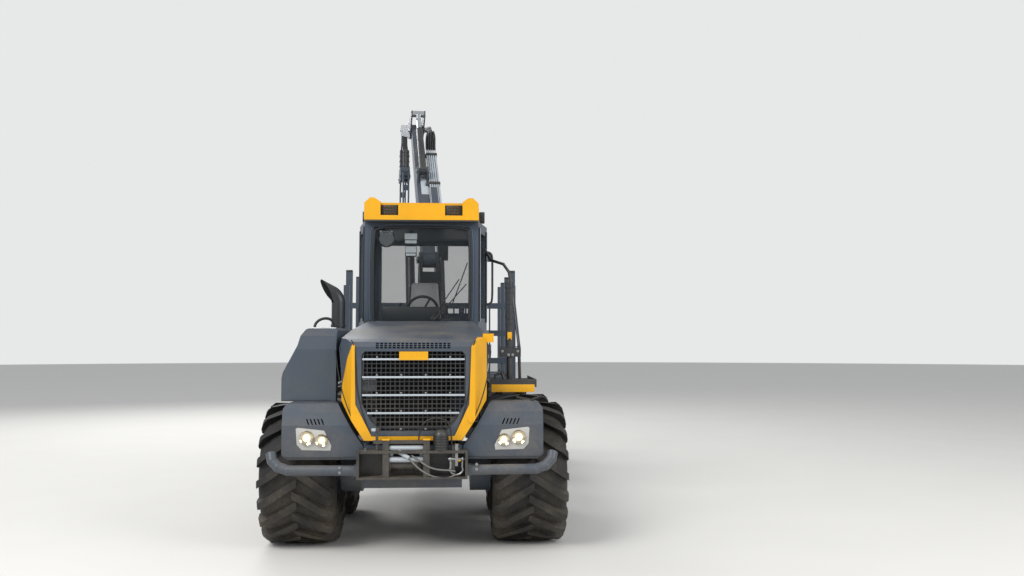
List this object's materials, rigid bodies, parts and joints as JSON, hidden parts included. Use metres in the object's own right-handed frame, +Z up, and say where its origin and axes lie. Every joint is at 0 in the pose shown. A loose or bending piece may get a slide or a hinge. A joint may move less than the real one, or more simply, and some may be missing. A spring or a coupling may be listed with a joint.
{
  "type": "forestry forwarder",
  "caption": "Articulated off-road log carrier with bogie wheels, tilting engine hood, cab, log bunk and a slewing crane with a grapple.",
  "frame": {"origin": "on the ground, at the middle of the box round everything", "axes": "+X forward, +Y to the machine's left, +Z up"},
  "size_m": [9.9529, 2.88, 6.0317],
  "materials": {
    "dark_paint": "satin",
    "yellow_paint": "gloss",
    "black_paint": "satin",
    "bare_steel": "matte",
    "rod_steel": "polished",
    "rubber": "matte",
    "glass": "clear",
    "lamp_glass": "clear",
    "seat_fabric": "matte",
    "plastic": "matte"
  },
  "bodies": {
    "front": {"front_frame": "dark_paint", "front_axle": "dark_paint", "engine": "bare_steel", "side_cowl": "dark_paint", "exhaust": "black_paint", "front_fenders": "dark_paint", "lamps": "lamp_glass", "bumper_tubes": "black_paint", "winch": "black_paint", "access": "black_paint", "cab_shell": "dark_paint", "cab_roof": "yellow_paint", "cab_glass": "glass", "seat": "seat_fabric", "console": "plastic"},
    "hood": {"hood": "dark_paint", "grille": "black_paint", "hood_stripes": "yellow_paint"},
    "door": {"door": "dark_paint", "door_glass": "glass"},
    "centre": {"centre_joint": "dark_paint"},
    "rear": {"rear_frame": "dark_paint", "rear_axle": "dark_paint", "headboard": "dark_paint", "bunks": "dark_paint", "crane_base": "dark_paint"},
    "pillar": {"pillar": "dark_paint"},
    "lift_barrels": {"lift_barrels": "black_paint"},
    "lift_rods": {"lift_rods": "rod_steel"},
    "boom": {"main_boom": "dark_paint"},
    "jib_barrel": {"jib_barrel": "black_paint"},
    "jib_rod": {"jib_rod": "rod_steel"},
    "jib": {"jib": "dark_paint"},
    "extension": {"extension": "dark_paint"},
    "hanger": {"hanger": "dark_paint"},
    "rotator": {"rotator": "black_paint", "grapple_frame": "dark_paint"},
    "tong_rear": {"tong_rear": "dark_paint"},
    "tong_front": {"tong_front": "dark_paint"},
    "bogie_front_left": {"bogie_front_left": "dark_paint"},
    "bogie_front_right": {"bogie_front_right": "dark_paint"},
    "bogie_rear_left": {"bogie_rear_left": "dark_paint"},
    "bogie_rear_right": {"bogie_rear_right": "dark_paint"},
    "wheel_1_left": {"wheel_1_left": "rubber"},
    "wheel_1_right": {"wheel_1_right": "rubber"},
    "wheel_2_left": {"wheel_2_left": "rubber"},
    "wheel_2_right": {"wheel_2_right": "rubber"},
    "wheel_3_left": {"wheel_3_left": "rubber"},
    "wheel_3_right": {"wheel_3_right": "rubber"},
    "wheel_4_left": {"wheel_4_left": "rubber"},
    "wheel_4_right": {"wheel_4_right": "rubber"},
    "steer_barrel_left": {"steer_barrel_left": "black_paint"},
    "steer_rod_left": {"steer_rod_left": "rod_steel"},
    "steer_barrel_right": {"steer_barrel_right": "black_paint"},
    "steer_rod_right": {"steer_rod_right": "rod_steel"}
  },
  "joints": [
    {"name": "bogie_front_left_swing", "type": "hinge", "parent": "front", "child": "bogie_front_left", "pos_m": [3.23, 0.52, 0.72], "axis": [0, 1, 0], "range_deg": [-12, 12]},
    {"name": "bogie_front_right_swing", "type": "hinge", "parent": "front", "child": "bogie_front_right", "pos_m": [3.23, -0.52, 0.72], "axis": [0, 1, 0], "range_deg": [-12, 12]},
    {"name": "wheel_1_left_spin", "type": "hinge", "parent": "bogie_front_left", "child": "wheel_1_left", "pos_m": [3.98, 1.085, 0.67], "axis": [0, 1, 0], "continuous": true},
    {"name": "wheel_1_right_spin", "type": "hinge", "parent": "bogie_front_right", "child": "wheel_1_right", "pos_m": [3.98, -1.085, 0.67], "axis": [0, 1, 0], "continuous": true},
    {"name": "wheel_2_left_spin", "type": "hinge", "parent": "bogie_front_left", "child": "wheel_2_left", "pos_m": [2.48, 1.085, 0.67], "axis": [0, 1, 0], "continuous": true},
    {"name": "wheel_2_right_spin", "type": "hinge", "parent": "bogie_front_right", "child": "wheel_2_right", "pos_m": [2.48, -1.085, 0.67], "axis": [0, 1, 0], "continuous": true},
    {"name": "steer", "type": "hinge", "parent": "front", "child": "centre", "pos_m": [1.33, 0, 0.85], "axis": [0, 0, 1], "range_deg": [-40, 40]},
    {"name": "frame_roll", "type": "hinge", "parent": "centre", "child": "rear", "pos_m": [1, 0, 0.85], "axis": [1, 0, 0], "range_deg": [-15, 15]},
    {"name": "bogie_rear_left_swing", "type": "hinge", "parent": "rear", "child": "bogie_rear_left", "pos_m": [-1.97, 0.52, 0.72], "axis": [0, 1, 0], "range_deg": [-12, 12]},
    {"name": "bogie_rear_right_swing", "type": "hinge", "parent": "rear", "child": "bogie_rear_right", "pos_m": [-1.97, -0.52, 0.72], "axis": [0, 1, 0], "range_deg": [-12, 12]},
    {"name": "wheel_3_left_spin", "type": "hinge", "parent": "bogie_rear_left", "child": "wheel_3_left", "pos_m": [-1.22, 1.085, 0.67], "axis": [0, 1, 0], "continuous": true},
    {"name": "wheel_3_right_spin", "type": "hinge", "parent": "bogie_rear_right", "child": "wheel_3_right", "pos_m": [-1.22, -1.085, 0.67], "axis": [0, 1, 0], "continuous": true},
    {"name": "wheel_4_left_spin", "type": "hinge", "parent": "bogie_rear_left", "child": "wheel_4_left", "pos_m": [-2.72, 1.085, 0.67], "axis": [0, 1, 0], "continuous": true},
    {"name": "wheel_4_right_spin", "type": "hinge", "parent": "bogie_rear_right", "child": "wheel_4_right", "pos_m": [-2.72, -1.085, 0.67], "axis": [0, 1, 0], "continuous": true},
    {"name": "steer_barrel_left_pivot", "type": "hinge", "parent": "front", "child": "steer_barrel_left", "pos_m": [2.1, 0.26, 0.85], "axis": [0, 0, 1], "range_deg": [-7.99, 7.99]},
    {"name": "steer_rod_left_slide", "type": "slide", "parent": "steer_barrel_left", "child": "steer_rod_left", "axis": [-1, 0, 0], "range_m": [-0.17677, 0.17677]},
    {"name": "steer_barrel_right_pivot", "type": "hinge", "parent": "front", "child": "steer_barrel_right", "pos_m": [2.1, -0.26, 0.85], "axis": [0, 0, 1], "range_deg": [-7.99, 7.99]},
    {"name": "steer_rod_right_slide", "type": "slide", "parent": "steer_barrel_right", "child": "steer_rod_right", "axis": [-1, 0, 0], "range_m": [-0.17677, 0.17677]},
    {"name": "door_swing", "type": "hinge", "parent": "front", "child": "door", "pos_m": [2.44, 0.76, 2.42], "axis": [0, 0, 1], "range_deg": [-85, 0]},
    {"name": "hood_tilt", "type": "hinge", "parent": "front", "child": "hood", "pos_m": [4.735, 0, 1.155], "axis": [0, 1, 0], "range_deg": [0, 55]},
    {"name": "slew", "type": "hinge", "parent": "rear", "child": "pillar", "pos_m": [0.6, 0, 1.5], "axis": [0, 0, 1], "range_deg": [-3, 377]},
    {"name": "boom_lift", "type": "hinge", "parent": "pillar", "child": "boom", "pos_m": [0.6, 0, 3.05], "axis": [0.1219, -0.9925, 0], "range_deg": [-30, 30]},
    {"name": "lift_barrels_pivot", "type": "hinge", "parent": "pillar", "child": "lift_barrels", "pos_m": [0.37171, -0.02803, 2.05], "axis": [0.1219, -0.9925, 0], "range_deg": [-15.28, 15.28]},
    {"name": "lift_rods_slide", "type": "slide", "parent": "lift_barrels", "child": "lift_rods", "axis": [-0.32, -0.0393, 0.9466], "range_m": [-0.28457, 0.28457]},
    {"name": "jib_fold", "type": "hinge", "parent": "boom", "child": "jib", "pos_m": [-1.64588, -0.27576, 5.31274], "axis": [-0.1219, 0.9925, 0], "range_deg": [-88, 27]},
    {"name": "jib_barrel_pivot", "type": "hinge", "parent": "boom", "child": "jib_barrel", "pos_m": [-0.40363, -0.12323, 4.443], "axis": [-0.1219, 0.9925, 0], "range_deg": [-6.76, 2.42]},
    {"name": "jib_rod_slide", "type": "slide", "parent": "jib_barrel", "child": "jib_rod", "axis": [-0.6399, -0.0786, 0.7644], "range_m": [-0.16101, 0.51347]},
    {"name": "extension_slide", "type": "slide", "parent": "jib", "child": "extension", "axis": [-0.9671, -0.1187, 0.225], "range_m": [0, 1.7]},
    {"name": "hanger_swing", "type": "hinge", "parent": "extension", "child": "hanger", "pos_m": [-4.4795, -0.62368, 5.97185], "axis": [0.1219, -0.9925, 0], "range_deg": [-35, 35]},
    {"name": "rotator_turn", "type": "hinge", "parent": "hanger", "child": "rotator", "pos_m": [-4.4795, -0.62368, 5.52685], "axis": [0, 0, 1], "continuous": true},
    {"name": "tong_rear_swing", "type": "hinge", "parent": "rotator", "child": "tong_rear", "pos_m": [-4.69786, -0.6505, 5.05185], "axis": [-0.1219, 0.9925, 0], "range_deg": [0, 50]},
    {"name": "tong_front_swing", "type": "hinge", "parent": "rotator", "child": "tong_front", "pos_m": [-4.26114, -0.59687, 5.05185], "axis": [0.1219, -0.9925, 0], "range_deg": [0, 50]}
  ],
  "couplings": [
    {"joint": "steer_barrel_left_pivot", "follows": "steer", "ratio": 0.18716},
    {"joint": "steer_rod_left_slide", "follows": "steer", "m_per_rad": 0.24891},
    {"joint": "steer_barrel_right_pivot", "follows": "steer", "ratio": 0.18716},
    {"joint": "steer_rod_right_slide", "follows": "steer", "m_per_rad": -0.24891},
    {"joint": "lift_barrels_pivot", "follows": "boom_lift", "ratio": 0.49275},
    {"joint": "lift_rods_slide", "follows": "boom_lift", "m_per_rad": -0.53395},
    {"joint": "jib_barrel_pivot", "follows": "jib_fold", "ratio": 0.071142},
    {"joint": "jib_rod_slide", "follows": "jib_fold", "m_per_rad": -0.33106},
    {"joint": "tong_front_swing", "follows": "tong_rear_swing", "ratio": 1}
  ]
}
